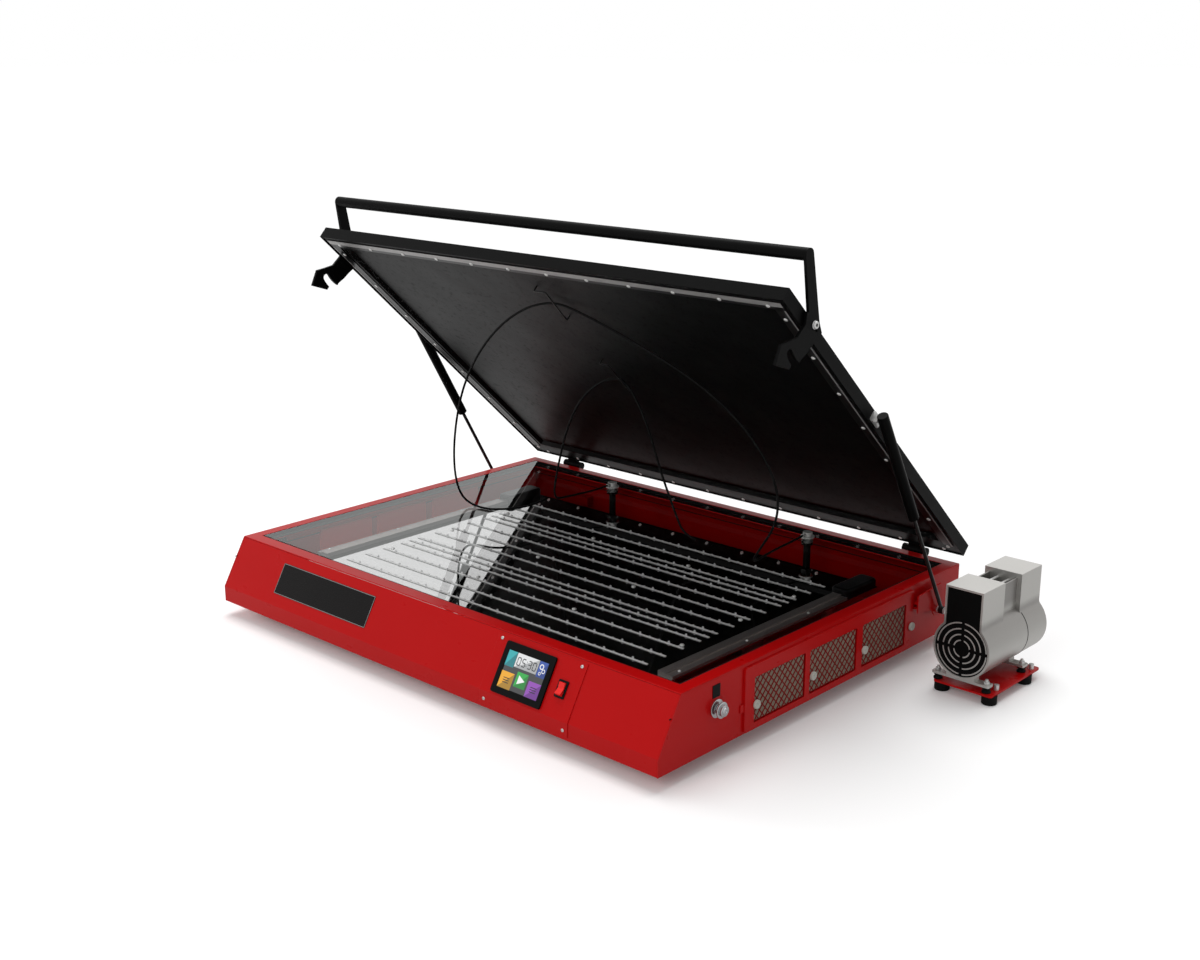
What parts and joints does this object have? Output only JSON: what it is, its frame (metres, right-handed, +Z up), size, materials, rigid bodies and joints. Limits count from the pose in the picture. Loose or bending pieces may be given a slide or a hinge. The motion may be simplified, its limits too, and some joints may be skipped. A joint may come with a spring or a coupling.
{
  "type": "screen printing exposure unit",
  "caption": "Low LED exposure unit for printing screens: a glass-topped light table with a hinged vacuum lid, a latching handle, gas struts, a touch display and a separate vacuum pump.",
  "frame": {"origin": "centre of the cabinet's footprint on the floor, at the underside of the middle foot", "axes": "+X to the right along the front, +Y to the back towards the lid's hinges, +Z up"},
  "size_m": [1.52, 0.9963, 0.8793],
  "materials": {
    "red_paint": "gloss",
    "black_paint": "satin",
    "black_rubber": "matte",
    "glass": "polished",
    "aluminium": "satin",
    "bright_steel": "satin",
    "chrome": "polished",
    "black_plastic": "matte",
    "grey_plastic": "matte",
    "led_strip": "matte",
    "red_plastic": "gloss",
    "screen": "polished",
    "filter": "matte",
    "name_plate": "satin",
    "cast_casing": "satin",
    "board": "matte"
  },
  "bodies": {
    "cabinet": {"base_pan": "red_paint", "front_panel": "red_paint", "side_panels": "red_paint", "rear_panel": "red_paint", "top_rim": "red_paint", "cabinet_feet": "black_rubber", "glass_gasket": "black_rubber", "glass_pane": "glass", "led_tray": "black_paint", "tray_rails": "black_paint", "led_strips": "led_strip", "panel_screws": "bright_steel", "tray_supports": "bright_steel", "led_drivers": "aluminium", "vacuum_ports": "chrome", "vacuum_manifold": "black_plastic", "power_inlet": "black_plastic", "control_plate": "red_paint", "display_housing": "black_plastic", "display_screen": "screen", "control_board": "board", "rocker_bezel": "black_plastic", "name_plate": "name_plate", "vent_covers": "red_paint", "right_vent_mesh": "red_paint", "left_vent_mesh": "red_paint", "vent_filters": "filter", "vent_knobs": "grey_plastic", "latch_pins": "chrome", "sensor_windows": "black_plastic", "strut_brackets": "red_paint", "strut_lower_studs": "bright_steel", "hinge_brackets": "black_paint", "first_cord": "black_plastic", "second_cord": "black_plastic", "pump_casing": "cast_casing", "pump_grilles": "black_plastic", "pump_motor": "black_paint", "pump_brackets": "aluminium", "pump_bolts": "bright_steel", "pump_plate": "red_paint", "pump_rubber_mounts": "black_rubber", "pump_inlet": "bright_steel"},
    "lid": {"lid_panel": "black_paint", "lid_frame": "black_paint", "rubber_blanket": "black_rubber", "clamp_strips": "aluminium", "clamp_screws": "bright_steel", "cord_hooks": "black_paint", "lid_hinge_leaves": "black_paint", "handle_pivot_bolts": "chrome", "strut_upper_studs": "bright_steel"},
    "handle": {"handle_arms": "black_paint", "handle_tube": "black_paint"},
    "rocker": {"rocker": "red_plastic"},
    "right_strut_rod": {"right_strut_rod": "chrome"},
    "left_strut_rod": {"left_strut_rod": "chrome"},
    "right_strut_tube": {"right_strut_tube": "black_paint"},
    "left_strut_tube": {"left_strut_tube": "black_paint"},
    "pump_rotor": {"pump_rotor": "grey_plastic"}
  },
  "joints": [
    {"name": "lid_hinge", "type": "hinge", "parent": "cabinet", "child": "lid", "pos_m": [0, 0.5025, 0.1629], "axis": [1, 0, 0], "range_deg": [0, 42.8], "stiffness_Nm_per_rad": 280, "springref_deg": -24.87, "deforming": ["first_cord", "second_cord"]},
    {"name": "handle_pivot", "type": "hinge", "parent": "lid", "child": "handle", "pos_m": [0, -0.09078, 0.74513], "axis": [1, 0, 0], "range_deg": [0, 19]},
    {"name": "rocker_switch", "type": "hinge", "parent": "cabinet", "child": "rocker", "pos_m": [0.379, -0.45685, 0.11068], "axis": [1, 0, 0], "range_deg": [0, 16]},
    {"name": "pump_shaft_spin", "type": "hinge", "parent": "cabinet", "child": "pump_rotor", "pos_m": [0.789, 0.3255, 0.099], "axis": [0, 1, 0], "continuous": true},
    {"name": "right_strut_swing", "type": "hinge", "parent": "cabinet", "child": "right_strut_rod", "pos_m": [0.647, 0.3815, 0.095], "axis": [1, 0, 0], "range_deg": [0, 48.3]},
    {"name": "right_strut_slide", "type": "slide", "parent": "right_strut_rod", "child": "right_strut_tube", "axis": [0, -0.4993, 0.8665], "range_m": [-0.0927, 0]},
    {"name": "left_strut_swing", "type": "hinge", "parent": "cabinet", "child": "left_strut_rod", "pos_m": [-0.647, 0.3815, 0.095], "axis": [1, 0, 0], "range_deg": [0, 48.3]},
    {"name": "left_strut_slide", "type": "slide", "parent": "left_strut_rod", "child": "left_strut_tube", "axis": [0, -0.4993, 0.8665], "range_m": [-0.0927, 0]}
  ],
  "couplings": [
    {"joint": "right_strut_swing", "follows": "lid_hinge", "ratio": 1.1216},
    {"joint": "right_strut_slide", "follows": "lid_hinge", "m_per_rad": -0.12332},
    {"joint": "left_strut_swing", "follows": "lid_hinge", "ratio": 1.1216},
    {"joint": "left_strut_slide", "follows": "lid_hinge", "m_per_rad": -0.12332}
  ]
}
